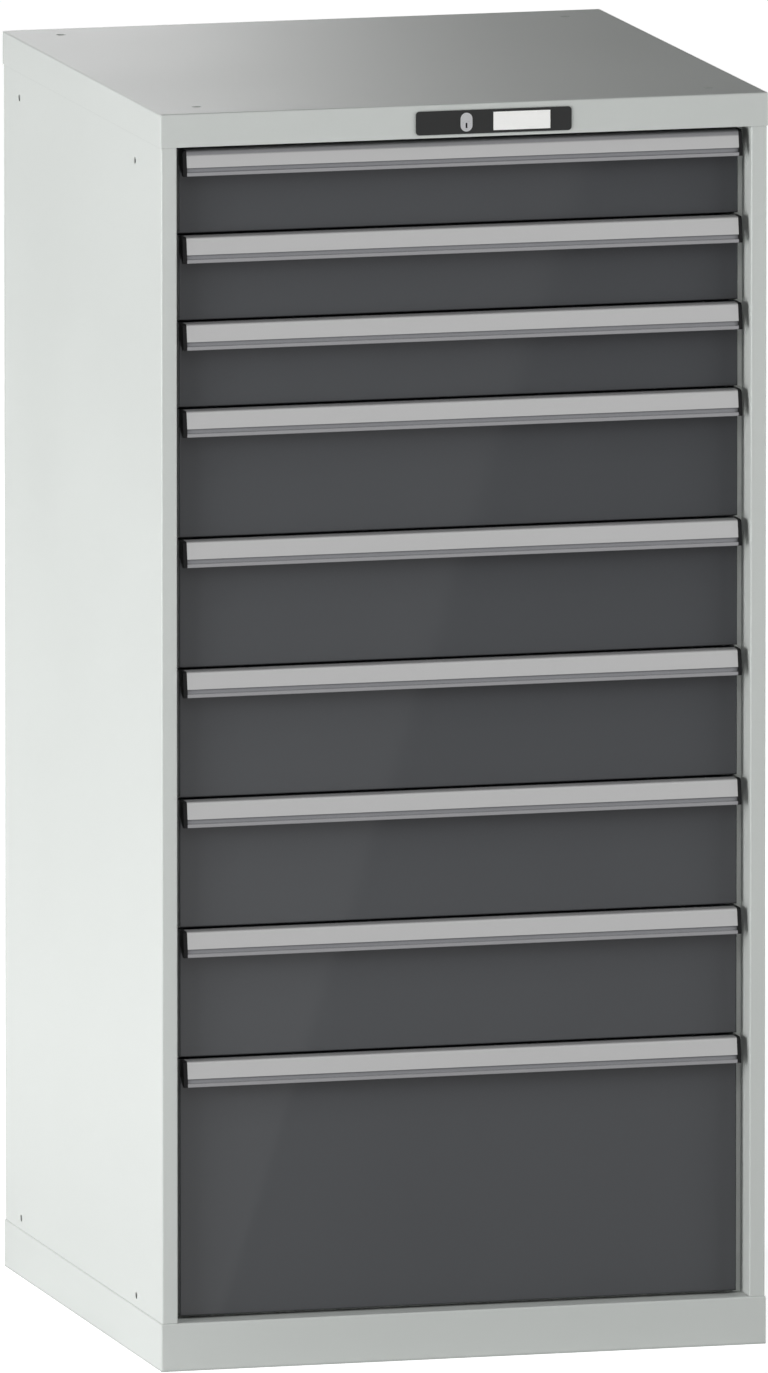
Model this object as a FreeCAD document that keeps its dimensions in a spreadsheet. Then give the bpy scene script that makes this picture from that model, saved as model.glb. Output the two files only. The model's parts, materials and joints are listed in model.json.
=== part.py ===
import FreeCAD, Part
import os
import Sketcher

# A tall cabinet of folded sheet steel with nine full-extension drawers and one lock for all of them.
# X runs to the right, Y to the back and Z up, with the origin on the floor under the middle.
# In the shapes below Y is counted from the front of the top cover, and in the drawers Z is counted
# from each drawer's own pitch line. The Placement of each sub-part takes it from there to its place.

document = FreeCAD.newDocument("drawer_cabinet")
sheet = document.addObject("Spreadsheet::Sheet", "Sizes")

# Driving dimensions in millimetres. What fits, seats or slides on something is worked out from them.
driving_sizes = {
    # Cabinet body
    "width": 717,
    "depth": 725,
    "cover_height": 38.5,
    "plinth_height": 55.5,
    "skin": 1.2,
    "proud": 1.2,
    "bend_radius": 2,
    "stile_width": 18.6,
    "upright_setback": 40,
    "rear_flange": 27,
    "ledge_width": 60,
    "foot_flange": 40,
    "anchor_hole": 11,
    "anchor_inset": 25,
    "fascia_return": 24,
    "panel_clearance": 0.3,
    "floor_panel_gap": 0.5,
    # Holes of the side panels and of the top cover
    "side_hole": 8,
    "side_hole_front": 119.2,
    "side_hole_back": 75.2,
    "side_hole_height": 68.6,
    "cover_hole": 12,
    "cover_hole_side": 56.5,
    "cover_hole_end": 53,
    # Drawer stack
    "small_pitch": 100,
    "medium_pitch": 150,
    "large_pitch": 300,
    "sill_gap": 3.5,
    "lintel_gap": 2.5,
    "front_gap": 2.4,
    # Drawer fronts
    "front_side_gap": 8.7,
    "front_setback": 26,
    "front_sheet": 1.5,
    "front_return": 12,
    "front_bend": 1.5,
    # Handle extrusion and its end caps
    "handle_height": 29.7,
    "handle_reach": 20.3,
    "handle_wall": 2,
    "handle_corner": 3.5,
    "handle_lean": 3.35,
    "handle_face_height": 20,
    "handle_face_step": 0.5,
    "handle_lip": 4.2,
    "handle_groove": 3,
    "handle_flange": 14,
    "handle_edge": 0.8,
    "cap_thickness": 4.5,
    "cap_heel": 16,
    # Trays
    "tray_wall": 1,
    "tray_lift": 7,
    "tray_headroom": 17,
    "tray_rear_space": 83.5,
    "rim_height": 8,
    "rim_thickness": 1.2,
    # Runners
    "runner_space": 23,
    "runner_sheet": 1.5,
    "runner_lift": 12,
    "runner_start": 17.5,
    "beam_thickness": 3,
    "beam_height": 30,
    "beam_gap": 0.5,
    "beam_start": 25,
    "beam_overhang": 18.5,
    "rail_overhang": 30,
    "roller_diameter": 30.4,
    "roller_play": 0.3,
    "roller_margin": 9,
    "roller_pin": 8,
    "pin_clearance": 0.05,
    # Uprights
    "upright_sheet": 1.5,
    "upright_depth": 55,
    "upright_lip": 15,
    "rear_upright_space": 25,
    # Lock plate, cylinder and name card
    "plate_left": 58,
    "plate_width": 183.3,
    "plate_height": 27.1,
    "plate_rise": 17.35,
    "plate_proud": 1.5,
    "plate_corner": 4,
    "plate_border": 3,
    "plate_depth": 8,
    "oval_from_left": 59.1,
    "oval_width": 14,
    "oval_height": 21.6,
    "oval_proud": 0.8,
    "oval_length": 24,
    "plug_diameter": 10,
    "keyway_width": 2,
    "keyway_height": 6,
    "keyway_depth": 8,
    "card_from_left": 91,
    "card_width": 67.3,
    "card_height": 21.2,
    "card_thickness": 0.5,
    "card_recess": 0.6,
    # Locking mechanism
    "lock_play": 0.3,
    "tail_diameter": 7,
    "cam_setback": 44,
    "cam_thickness": 2.5,
    "cam_rim": 4.5,
    "cam_slot_play": 0.5,
    "lock_pin": 5,
    "rod_setback": 49,
    "rod_thickness": 3,
    "rod_below": 2,
    "rod_above": 10,
    "rod_left_reach": 20,
    "rod_slot_margin": 7.5,
    "rod_end_wall": 3.4,
    "bar_gap": 1.5,
    "bar_thickness": 3,
    "bar_depth": 14,
    "bar_foot": 40,
    "bar_top_space": 1.5,
    "bar_setback": 44,
    "bar_pin_inset": 3,
    "tongue_width": 7,
    "tongue_root": 10,
    "tongue_margin": 4.5,
    "hook_inset": 2,
    "hook_thickness": 3,
    "hook_height": 10,
    "hook_reach": 8,
    "catch_height": 62,
    "catch_gap": 1,
    "catch_thickness": 3,
    "catch_side_gap": 2,
    "catch_clearance": 2,
}
for row, (alias, value) in enumerate(driving_sizes.items(), start=1):
    sheet.set(f"A{row}", alias)
    sheet.set(f"B{row}", str(value))
    sheet.setAlias(f"B{row}", alias)
document.recompute()

# The drawers from the top down, by the size of their fronts.
drawer_pitches = ["Sizes.small_pitch"] * 3 + ["Sizes.medium_pitch"] * 5 + ["Sizes.large_pitch"]
drawer_count = len(drawer_pitches)

# Distances to the right of the middle plane.
side_face = "(Sizes.width / 2 - Sizes.proud)"
side_inside = f"({side_face} - Sizes.skin)"
stile_edge = f"({side_face} - Sizes.stile_width)"
front_edge = f"({stile_edge} - Sizes.front_side_gap)"
tray_side = f"({front_edge} - Sizes.runner_space)"

# Distances behind the front of the top cover.
body_back = "(Sizes.depth - Sizes.proud)"
panel_back = f"({body_back} - Sizes.skin)"
tray_front = "(Sizes.front_setback + Sizes.front_sheet)"
tray_back = "(Sizes.depth - Sizes.tray_rear_space)"
travel = f"({tray_back} - {tray_front} - 2 * Sizes.tray_wall)"
upright_inside = "(Sizes.upright_setback + Sizes.upright_sheet)"

# Heights above the floor.
stack_base = "(Sizes.plinth_height + Sizes.sill_gap)"
stack_height = " + ".join(drawer_pitches)
cover_edge = f"({stack_base} + {stack_height} + Sizes.lintel_gap)"
cover_top = f"({cover_edge} + Sizes.cover_height)"
body_top = f"({cover_top} - Sizes.skin)"


def number(expression):
    """The value of an expression in the driving dimensions."""
    return float(sheet.evalExpression(expression))


def pitch_line(drawer):
    """Height of a drawer's pitch line: all the drawers under it stand below this line."""
    return " + ".join([stack_base] + drawer_pitches[drawer:])


def origin_plane(body, role):
    """One of the body's own three planes."""
    planes = [plane for plane in body.Origin.OriginFeatures if plane.Role == role]
    return planes[0]


def sketch_on(body, name, plane, level):
    """An empty sketch on one of the body's planes, lifted to a level along +X, +Y or +Z."""
    sketch = body.newObject("Sketcher::SketchObject", name)
    sketch.AttachmentSupport = (origin_plane(body, plane), [""])
    sketch.MapMode = "FlatFace"
    # The XZ plane faces the front, so its own normal runs along -Y.
    lift = f"-({level})" if plane == "XZ_Plane" else level
    sketch.setExpression("AttachmentOffset.Base.z", lift)
    return sketch


def pin_point(sketch, element, point, place):
    """Ties a point of the sketch to the origin by two bound distances."""
    for kind, distance in zip(("DistanceX", "DistanceY"), place):
        constraint = Sketcher.Constraint(kind, -1, 1, element, point, number(distance))
        index = sketch.addConstraint(constraint)
        sketch.setExpression(f"Constraints[{index}]", distance)


def draw_loop(sketch, corners):
    """A closed outline of straight lines through its corners, each a pair of expressions."""
    first = sketch.GeometryCount
    count = len(corners)
    points = [FreeCAD.Vector(number(x), number(y), 0) for x, y in corners]
    for index in range(count):
        line = Part.LineSegment(points[index], points[(index + 1) % count])
        sketch.addGeometry(line, False)
    for index in range(count):
        following = first + (index + 1) % count
        sketch.addConstraint(Sketcher.Constraint("Coincident", first + index, 2, following, 1))
    for index, corner in enumerate(corners):
        pin_point(sketch, first + index, 1, corner)


def draw_circle(sketch, centre, diameter):
    """A circle with its centre and diameter bound."""
    middle = FreeCAD.Vector(number(centre[0]), number(centre[1]), 0)
    circle = Part.Circle(middle, FreeCAD.Vector(0, 0, 1), number(diameter) / 2)
    element = sketch.addGeometry(circle, False)
    index = sketch.addConstraint(Sketcher.Constraint("Diameter", element, number(diameter)))
    sketch.setExpression(f"Constraints[{index}]", diameter)
    pin_point(sketch, element, 3, centre)


def rectangle(across, up):
    """The four corners of a rectangle, from its two ranges."""
    return [(across[0], up[0]), (across[1], up[0]), (across[1], up[1]), (across[0], up[1])]


def new_body(name):
    return document.addObject("PartDesign::Body", name)


def pad(body, name, plane, span, *loops):
    """Adds the outlines' area to the body, over a span along the axis that the plane faces."""
    sketch = sketch_on(body, f"{name}_sketch", plane, span[0])
    for corners in loops:
        draw_loop(sketch, corners)
    feature = body.newObject("PartDesign::Pad", name)
    feature.Profile = sketch
    feature.Reversed = plane == "XZ_Plane"
    feature.setExpression("Length", f"({span[1]}) - ({span[0]})")
    return feature


def pocket(body, name, plane, span, loops=(), circles=()):
    """Takes the outlines' area out of the body, over a span along the axis that the plane faces."""
    document.recompute()
    volume = body.Shape.Volume
    sketch = sketch_on(body, f"{name}_sketch", plane, span[0])
    for corners in loops:
        draw_loop(sketch, corners)
    for centre, diameter in circles:
        draw_circle(sketch, centre, diameter)
    feature = body.newObject("PartDesign::Pocket", name)
    feature.Profile = sketch
    feature.Reversed = plane != "XZ_Plane"
    feature.setExpression("Length", f"({span[1]}) - ({span[0]})")
    document.recompute()
    if body.Shape.Volume >= volume:
        raise ValueError(f"{name} cuts nothing")
    return feature


def round_edges(body, name, radius, chosen):
    """Rounds each edge whose two end points pass the test together."""
    document.recompute()
    base = body.Tip
    edges = []
    for index, edge in enumerate(base.Shape.Edges, start=1):
        if chosen(edge.Vertexes[0].Point, edge.Vertexes[-1].Point):
            edges.append(f"Edge{index}")
    fillet = body.newObject("PartDesign::Fillet", name)
    fillet.Base = (base, edges)
    fillet.setExpression("Radius", radius)
    return fillet


def near(value, expression):
    return abs(value - number(expression)) < 0.01


def standing(start, end):
    """True for an edge that runs up and down."""
    return abs(start.z - end.z) > 1 and abs(start.x - end.x) < 0.01 and abs(start.y - end.y) < 0.01


def box(name, x, y, z):
    """A block from its three ranges."""
    block = document.addObject("Part::Box", name)
    for axis, side, span in zip("xyz", ("Length", "Width", "Height"), (x, y, z)):
        block.setExpression(f"Placement.Base.{axis}", span[0])
        block.setExpression(side, f"({span[1]}) - ({span[0]})")
    return block


def bar_along(axis, name, span, centre, diameter):
    """A round bar along x or y over a span. The centre is its place on the other two axes."""
    bar = document.addObject("Part::Cylinder", name)
    if axis == "x":
        turn = FreeCAD.Rotation(FreeCAD.Vector(0, 1, 0), 90)
        across = "y"
    else:
        turn = FreeCAD.Rotation(FreeCAD.Vector(1, 0, 0), -90)
        across = "x"
    bar.Placement = FreeCAD.Placement(FreeCAD.Vector(), turn)
    bar.setExpression(f"Placement.Base.{axis}", span[0])
    bar.setExpression(f"Placement.Base.{across}", centre[0])
    bar.setExpression("Placement.Base.z", centre[1])
    bar.setExpression("Height", f"({span[1]}) - ({span[0]})")
    bar.setExpression("Radius", f"({diameter}) / 2")
    return bar


def cut(name, base, tool):
    result = document.addObject("Part::Cut", name)
    result.Base = base
    result.Tool = tool
    return result


def fuse(name, shapes):
    result = document.addObject("Part::MultiFuse", name)
    result.Shapes = shapes
    result.Refine = True
    return result


def group(name, links):
    """Separate solids kept together."""
    result = document.addObject("Part::Compound", name)
    result.Links = links
    return result


def mirrored(name, source):
    """The same piece on the other side of the cabinet's middle plane."""
    twin = document.addObject("Part::Mirroring", name)
    twin.Source = source
    twin.Base = FreeCAD.Vector(0, 0, 0)
    twin.Normal = FreeCAD.Vector(1, 0, 0)
    return twin


subparts = []


def place(feature, node, height="0"):
    """Names a finished sub-part, and puts it at its place in the cabinet."""
    feature.Label = node
    feature.setExpression("Placement.Base.y", "-Sizes.depth / 2")
    feature.setExpression("Placement.Base.z", height)
    subparts.append(feature)


def symmetric(half):
    return (f"-({half})", half)


def widened(span, play):
    return (f"({span[0]}) - {play}", f"({span[1]}) + {play}")


def four_holes(inset_x, inset_y, diameter):
    """Four round holes at the same insets from the cabinet's sides, front and back."""
    holes = []
    for x in symmetric(f"Sizes.width / 2 - {inset_x}"):
        for y in (inset_y, f"Sizes.depth - {inset_y}"):
            holes.append(((x, y), diameter))
    return holes


# Places that the lock's pieces share with the cover, the uprights and the trays.
plate_x = ("-Sizes.plate_left", "(Sizes.plate_width - Sizes.plate_left)")
plate_middle = f"({cover_edge} + Sizes.plate_rise)"
plate_z = (f"{plate_middle} - Sizes.plate_height / 2", f"{plate_middle} + Sizes.plate_height / 2")
card_x = (
    "(Sizes.card_from_left - Sizes.plate_left)",
    "(Sizes.card_from_left - Sizes.plate_left + Sizes.card_width)",
)
card_z = (f"{plate_middle} - Sizes.card_height / 2", f"{plate_middle} + Sizes.card_height / 2")
oval_x = "(Sizes.oval_from_left - Sizes.plate_left)"
plug_z = f"({plate_middle} - (Sizes.oval_height - Sizes.oval_width) / 2)"
lock_travel = "(Sizes.hook_height + Sizes.catch_clearance)"
rod_z = (f"({cover_edge} + Sizes.rod_below)", f"({cover_top} - Sizes.rod_above)")
rod_y = ("Sizes.rod_setback", "(Sizes.rod_setback + Sizes.rod_thickness)")
web_x = (front_edge, f"({front_edge} + Sizes.upright_sheet)")
bar_x = (f"({web_x[1]} + Sizes.bar_gap)", f"({web_x[1]} + Sizes.bar_gap + Sizes.bar_thickness)")
hook_y = (
    "(Sizes.bar_setback + Sizes.hook_inset)",
    "(Sizes.bar_setback + Sizes.hook_inset + Sizes.hook_thickness)",
)
catch_z = ("Sizes.catch_height", "(Sizes.catch_height + Sizes.hook_height)")
hook_z = (f"({catch_z[0]} + {lock_travel})", f"({catch_z[1]} + {lock_travel})")
bar_pin = (f"({bar_x[0]} + Sizes.bar_pin_inset)", f"({rod_z[1]} - Sizes.rod_slot_margin)")

# Places that the trays, the carriages and the cabinet rails share, on the right-hand side.
runner_height = "(Sizes.roller_diameter + 2 * Sizes.roller_play + 2 * Sizes.runner_sheet)"
runner_z = ("Sizes.runner_lift", f"(Sizes.runner_lift + {runner_height})")
groove_z = ("(Sizes.runner_lift + Sizes.runner_sheet)", f"({runner_z[1]} - Sizes.runner_sheet)")
roller_z = f"(Sizes.runner_lift + {runner_height} / 2)"
beam_room = "(Sizes.beam_thickness + 2 * Sizes.beam_gap)"
flange = f"((Sizes.runner_space - 2 * Sizes.runner_sheet - {beam_room}) / 2)"
channel_web = f"({tray_side} + Sizes.runner_sheet)"
channel_tip = f"({channel_web} + {flange})"
rail_web = f"({front_edge} - Sizes.runner_sheet)"
rail_tip = f"({rail_web} - {flange})"
beam_x = (f"({channel_tip} + Sizes.beam_gap)", f"({rail_tip} - Sizes.beam_gap)")
channel_y = (f"({tray_front} + Sizes.runner_start)", tray_back)
beam_y = (f"({channel_y[0]} + Sizes.beam_start)", f"({tray_back} + Sizes.beam_overhang)")
rail_y = (upright_inside, f"({beam_y[1]} + Sizes.rail_overhang)")
overcut = "1"


def plate_insert(play):
    """The part of the lock plate that goes through the fascia, grown by a play."""
    return rectangle(*(widened(span, f"({play} - Sizes.plate_border)") for span in (plate_x, plate_z)))


def oval(name, y, play):
    """The lock cylinder's upright oval as a bar along Y, grown by a play."""
    radius = f"(Sizes.oval_width / 2 + {play})"
    upper_z = f"({plug_z} + Sizes.oval_height - Sizes.oval_width)"
    middle = box(f"{name}_middle", (f"{oval_x} - {radius}", f"{oval_x} + {radius}"), y, (plug_z, upper_z))
    lower_end = bar_along("y", f"{name}_lower", y, (oval_x, plug_z), f"2 * {radius}")
    upper_end = bar_along("y", f"{name}_upper", y, (oval_x, upper_z), f"2 * {radius}")
    return fuse(name, [middle, lower_end, upper_end])


def make_top_cover():
    """A lid whose front skirt is the fascia, with a return along the fascia's lower edge."""
    body = new_body("cover")
    footprint = rectangle(symmetric("Sizes.width / 2"), ("0", "Sizes.depth"))
    pad(body, "cover_block", "XY_Plane", (cover_edge, cover_top), footprint)

    def bent(start, end):
        return standing(start, end) or (near(start.z, cover_top) and near(end.z, cover_top))

    round_edges(body, "cover_bends", "Sizes.bend_radius", bent)
    inside = rectangle(symmetric(side_face), ("Sizes.proud", body_back))
    pocket(body, "cover_hollow", "XY_Plane", (cover_edge, body_top), [inside])
    lip = rectangle(symmetric(stile_edge), ("Sizes.proud", "Sizes.proud + Sizes.fascia_return"))
    pad(body, "cover_lip", "XY_Plane", (cover_edge, f"{cover_edge} + Sizes.skin"), lip)
    window = plate_insert("Sizes.panel_clearance")
    pocket(body, "cover_window", "XZ_Plane", ("0", "Sizes.proud"), [window])
    holes = four_holes("Sizes.cover_hole_side", "Sizes.cover_hole_end", "Sizes.cover_hole")
    pocket(body, "cover_holes", "XY_Plane", (body_top, cover_top), circles=holes)
    place(body, "top_cover")


def make_plinth():
    """A ring with a ledge that carries the body, and a flange on the floor."""
    body = new_body("base")
    top = "Sizes.plinth_height"
    footprint = rectangle(symmetric("Sizes.width / 2"), ("0", "Sizes.depth"))
    pad(body, "base_block", "XY_Plane", ("0", top), footprint)

    def bent(start, end):
        return standing(start, end) or (near(start.z, top) and near(end.z, top))

    round_edges(body, "base_bends", "Sizes.bend_radius", bent)

    def inside(border):
        return rectangle(symmetric(f"Sizes.width / 2 - {border}"), (border, f"Sizes.depth - {border}"))

    ledge = f"({top} - Sizes.skin)"
    pocket(body, "base_hollow", "XY_Plane", ("Sizes.skin", ledge), [inside("Sizes.skin")])
    pocket(body, "base_foot", "XY_Plane", ("0", "Sizes.skin"), [inside("Sizes.foot_flange")])
    pocket(body, "base_top", "XY_Plane", (ledge, top), [inside("Sizes.ledge_width")])
    holes = four_holes("Sizes.anchor_inset", "Sizes.anchor_inset", "Sizes.anchor_hole")
    pocket(body, "base_anchors", "XY_Plane", ("0", "Sizes.skin"), circles=holes)
    place(body, "plinth")


def make_side_panel(node, hand):
    """One sheet: the side, the stile with its return to the upright, and the flange at the back."""
    body = new_body(f"{node}_body")

    def at(x):
        return f"{hand} * ({x})"

    stile_inside = f"{stile_edge} + Sizes.skin"
    stile_back = "Sizes.proud + Sizes.skin"
    flange_edge = f"{side_face} - Sizes.rear_flange"
    corners = [
        (at(side_face), "Sizes.proud"),
        (at(side_face), body_back),
        (at(flange_edge), body_back),
        (at(flange_edge), panel_back),
        (at(side_inside), panel_back),
        (at(side_inside), stile_back),
        (at(stile_inside), stile_back),
        (at(stile_inside), "Sizes.upright_setback"),
        (at(stile_edge), "Sizes.upright_setback"),
        (at(stile_edge), "Sizes.proud"),
    ]
    pad(body, f"{node}_sheet", "XY_Plane", ("Sizes.plinth_height", body_top), corners)

    def bent(start, end):
        at_side = near(abs(start.x), side_face)
        at_stile = near(abs(start.x), stile_edge) and near(start.y, "Sizes.proud")
        return standing(start, end) and (at_side or at_stile)

    round_edges(body, f"{node}_bends", "Sizes.bend_radius", bent)
    holes = []
    for y in ("Sizes.side_hole_front", "Sizes.depth - Sizes.side_hole_back"):
        for z in ("Sizes.side_hole_height", f"{cover_top} - Sizes.side_hole_height"):
            holes.append(((y, z), "Sizes.side_hole"))
    skin = sorted([at(side_inside), at(side_face)], key=number)
    pocket(body, f"{node}_holes", "YZ_Plane", skin, circles=holes)
    place(body, node)


def make_plain_panels():
    """The back, inside the rear flanges of the side panels, and the floor on the plinth's ledge."""
    back = new_body("back")
    across = symmetric(f"{side_inside} - Sizes.panel_clearance")
    sheet_y = (f"{panel_back} - Sizes.skin", panel_back)
    pad(back, "back_sheet", "XY_Plane", ("Sizes.plinth_height", body_top), rectangle(across, sheet_y))
    place(back, "back_panel")
    floor = new_body("floor")
    floor_x = symmetric(f"{front_edge} - Sizes.floor_panel_gap")
    floor_y = (upright_inside, f"{sheet_y[0]} - Sizes.floor_panel_gap")
    floor_z = ("Sizes.plinth_height", "Sizes.plinth_height + Sizes.skin")
    pad(floor, "floor_sheet", "XY_Plane", floor_z, rectangle(floor_x, floor_y))
    place(floor, "floor_panel")


def make_upright(name, hand, start, direction):
    """A channel-shaped post: a flange against the side panel, the web that takes the rails, and a lip."""
    post = new_body(name)

    def corner(x, y):
        return (f"{hand} * ({x})", f"{start} + {direction} * ({y})")

    outline = [
        corner(front_edge, "0"),
        corner(side_inside, "0"),
        corner(side_inside, "Sizes.upright_sheet"),
        corner(web_x[1], "Sizes.upright_sheet"),
        corner(web_x[1], "Sizes.upright_depth - Sizes.upright_sheet"),
        corner(f"{front_edge} + Sizes.upright_lip", "Sizes.upright_depth - Sizes.upright_sheet"),
        corner(f"{front_edge} + Sizes.upright_lip", "Sizes.upright_depth"),
        corner(front_edge, "Sizes.upright_depth"),
    ]
    pad(post, f"{name}_sheet", "XY_Plane", ("Sizes.plinth_height", body_top), outline)
    return post


def make_uprights():
    """Four posts. The front ones let the lock rod through, and the right one the nine hooks."""
    posts = []
    rear = "(Sizes.depth - Sizes.rear_upright_space)"
    rod_window = rectangle(widened(rod_y, "Sizes.lock_play"), widened(rod_z, "Sizes.lock_play"))
    hook_windows = []
    for drawer in range(1, drawer_count + 1):
        line = pitch_line(drawer)
        passage = (f"{line} + {catch_z[0]}", f"{line} + {hook_z[1]}")
        window = rectangle(widened(hook_y, "Sizes.lock_play"), widened(passage, "Sizes.lock_play"))
        hook_windows.append(window)
    for side, hand in (("left", -1), ("right", 1)):
        front_post = make_upright(f"front_post_{side}", hand, "Sizes.upright_setback", 1)
        web = sorted([f"{hand} * {x}" for x in web_x], key=number)
        windows = [rod_window]
        if side == "right":
            windows += hook_windows
        pocket(front_post, f"front_post_{side}_windows", "YZ_Plane", web, windows)
        posts.append(front_post)
        posts.append(make_upright(f"rear_post_{side}", hand, rear, -1))
    place(group("posts", posts), "uprights")


def make_cabinet_rails():
    """Two channels for each drawer, open to the inside and closed at the back."""
    rails = []
    for drawer in range(1, drawer_count + 1):
        line = pitch_line(drawer)
        name = f"rail_{drawer}"
        block_z = (f"{line} + {runner_z[0]}", f"{line} + {runner_z[1]}")
        hollow_z = (f"{line} + {groove_z[0]}", f"{line} + {groove_z[1]}")
        block = box(f"{name}_block", (rail_tip, front_edge), rail_y, block_z)
        hollow_y = (f"{rail_y[0]} - {overcut}", f"{rail_y[1]} - Sizes.runner_sheet")
        hollow = box(f"{name}_hollow", (f"{rail_tip} - {overcut}", rail_web), hollow_y, hollow_z)
        right_rail = cut(f"{name}_right", block, hollow)
        rails.append(right_rail)
        rails.append(mirrored(f"{name}_left", right_rail))
    place(group("rails", rails), "cabinet_rails")


def make_drawer_front(node, pitch, height):
    """A shallow pan with its open side to the back."""
    body = new_body(f"{node}_body")
    back = "(Sizes.front_setback + Sizes.front_return)"
    top = f"({pitch} - Sizes.front_gap)"
    block = rectangle(symmetric(front_edge), ("0", top))
    pad(body, f"{node}_block", "XZ_Plane", ("Sizes.front_setback", back), block)

    def on_the_face(start, end):
        return near(start.y, "Sizes.front_setback") and near(end.y, "Sizes.front_setback")

    round_edges(body, f"{node}_bends", "Sizes.front_bend", on_the_face)
    inside_x = symmetric(f"{front_edge} - Sizes.front_sheet")
    inside = rectangle(inside_x, ("Sizes.front_sheet", f"{top} - Sizes.front_sheet"))
    pocket(body, f"{node}_hollow", "XZ_Plane", (tray_front, back), [inside])
    place(body, node, height)


def handle_points(pitch):
    """Named places on the handle's cross-section: distances behind the cover's front, and heights."""
    top = f"({pitch} - Sizes.front_gap)"
    lip_front = "(Sizes.front_setback - Sizes.handle_reach)"
    face_foot = f"({lip_front} + Sizes.handle_face_step)"
    groove = f"({lip_front} + Sizes.handle_groove)"
    return {
        "top": top,
        "bottom": f"({top} - Sizes.handle_height)",
        "lip_top": f"({top} - Sizes.handle_height + Sizes.handle_lip)",
        "face_bottom": f"({top} - Sizes.handle_face_height)",
        "lip_front": lip_front,
        "face_foot": face_foot,
        "face_head": f"({face_foot} + Sizes.handle_lean)",
        "groove": groove,
        "inside": f"({groove} + Sizes.handle_wall)",
        "back": "Sizes.front_setback",
    }


def round_handle(body, name, at):
    """The soft top corner along the handle, and the eased lower edge of its lip."""

    def top_corner(start, end):
        return all(near(point.y, at["face_head"]) and near(point.z, at["top"]) for point in (start, end))

    def lip_edge(start, end):
        return all(near(point.y, at["lip_front"]) and near(point.z, at["bottom"]) for point in (start, end))

    round_edges(body, f"{name}_corner", "Sizes.handle_corner", top_corner)
    round_edges(body, f"{name}_edge", "Sizes.handle_edge", lip_edge)


def make_handle(node, pitch, height):
    """An extrusion: flange on the front, top, sloping face, groove and lip, open below for the fingers."""
    body = new_body(f"{node}_body")
    at = handle_points(pitch)
    under_top = f"({at['top']} - Sizes.handle_wall)"
    inner_step = f"({at['face_bottom']} + Sizes.handle_wall)"
    profile = [
        (at["back"], at["top"]),
        (at["face_head"], at["top"]),
        (at["face_foot"], at["face_bottom"]),
        (at["groove"], at["face_bottom"]),
        (at["groove"], at["lip_top"]),
        (at["lip_front"], at["lip_top"]),
        (at["lip_front"], at["bottom"]),
        (at["inside"], at["bottom"]),
        (at["inside"], inner_step),
        (f"{at['face_foot']} + Sizes.handle_wall", inner_step),
        (f"{at['face_head']} + Sizes.handle_wall", under_top),
        (f"{at['back']} - Sizes.handle_wall", under_top),
        (f"{at['back']} - Sizes.handle_wall", f"{at['top']} - Sizes.handle_flange"),
        (at["back"], f"{at['top']} - Sizes.handle_flange"),
    ]
    pad(body, f"{node}_profile", "YZ_Plane", symmetric(f"{front_edge} - Sizes.cap_thickness"), profile)
    round_handle(body, node, at)
    place(body, node, height)


def make_end_caps(node, pitch, height):
    """Two caps that close the ends of the handle."""
    right_cap = new_body(f"{node}_right")
    at = handle_points(pitch)
    outline = [
        (at["back"], at["top"]),
        (at["face_head"], at["top"]),
        (at["face_foot"], at["face_bottom"]),
        (at["lip_front"], at["lip_top"]),
        (at["lip_front"], at["bottom"]),
        (at["inside"], at["bottom"]),
        (at["back"], f"{at['top']} - Sizes.cap_heel"),
    ]
    cap_x = (f"{front_edge} - Sizes.cap_thickness", front_edge)
    pad(right_cap, f"{node}_outline", "YZ_Plane", cap_x, outline)
    round_handle(right_cap, node, at)
    left_cap = mirrored(f"{node}_left", right_cap)
    place(group(f"{node}_pair", [right_cap, left_cap]), node, height)


def make_tray(node, pitch, height):
    """A folded box with a rim, its two runner channels and the bracket that the lock catches."""
    top = f"({pitch} - Sizes.tray_headroom)"
    rim_side = f"{tray_side} + Sizes.rim_thickness"
    block = box(f"{node}_block", symmetric(tray_side), (tray_front, tray_back), ("Sizes.tray_lift", top))
    rim_y = (tray_front, f"{tray_back} + Sizes.rim_thickness")
    rim = box(f"{node}_rim", symmetric(rim_side), rim_y, (f"{top} - Sizes.rim_height", top))
    inside_x = symmetric(f"{tray_side} - Sizes.tray_wall")
    inside_y = (f"{tray_front} + Sizes.tray_wall", f"{tray_back} - Sizes.tray_wall")
    inside_z = ("Sizes.tray_lift + Sizes.tray_wall", f"{top} + {overcut}")
    inside = box(f"{node}_inside", inside_x, inside_y, inside_z)
    shell = cut(f"{node}_shell", fuse(f"{node}_outside", [block, rim]), inside)
    channel_block = box(f"{node}_channel_block", (tray_side, channel_tip), channel_y, runner_z)
    groove_x = (channel_web, f"{channel_tip} + {overcut}")
    channel_groove = box(f"{node}_channel_groove", groove_x, widened(channel_y, overcut), groove_z)
    right_channel = cut(f"{node}_channel_right", channel_block, channel_groove)
    left_channel = mirrored(f"{node}_channel_left", right_channel)
    catch_start = f"({hook_y[1]} + Sizes.catch_gap)"
    catch_x = (tray_side, f"{front_edge} - Sizes.catch_side_gap")
    catch = box(f"{node}_catch", catch_x, (catch_start, f"{catch_start} + Sizes.catch_thickness"), catch_z)
    place(group(f"{node}_pieces", [shell, right_channel, left_channel, catch]), node, height)


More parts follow.
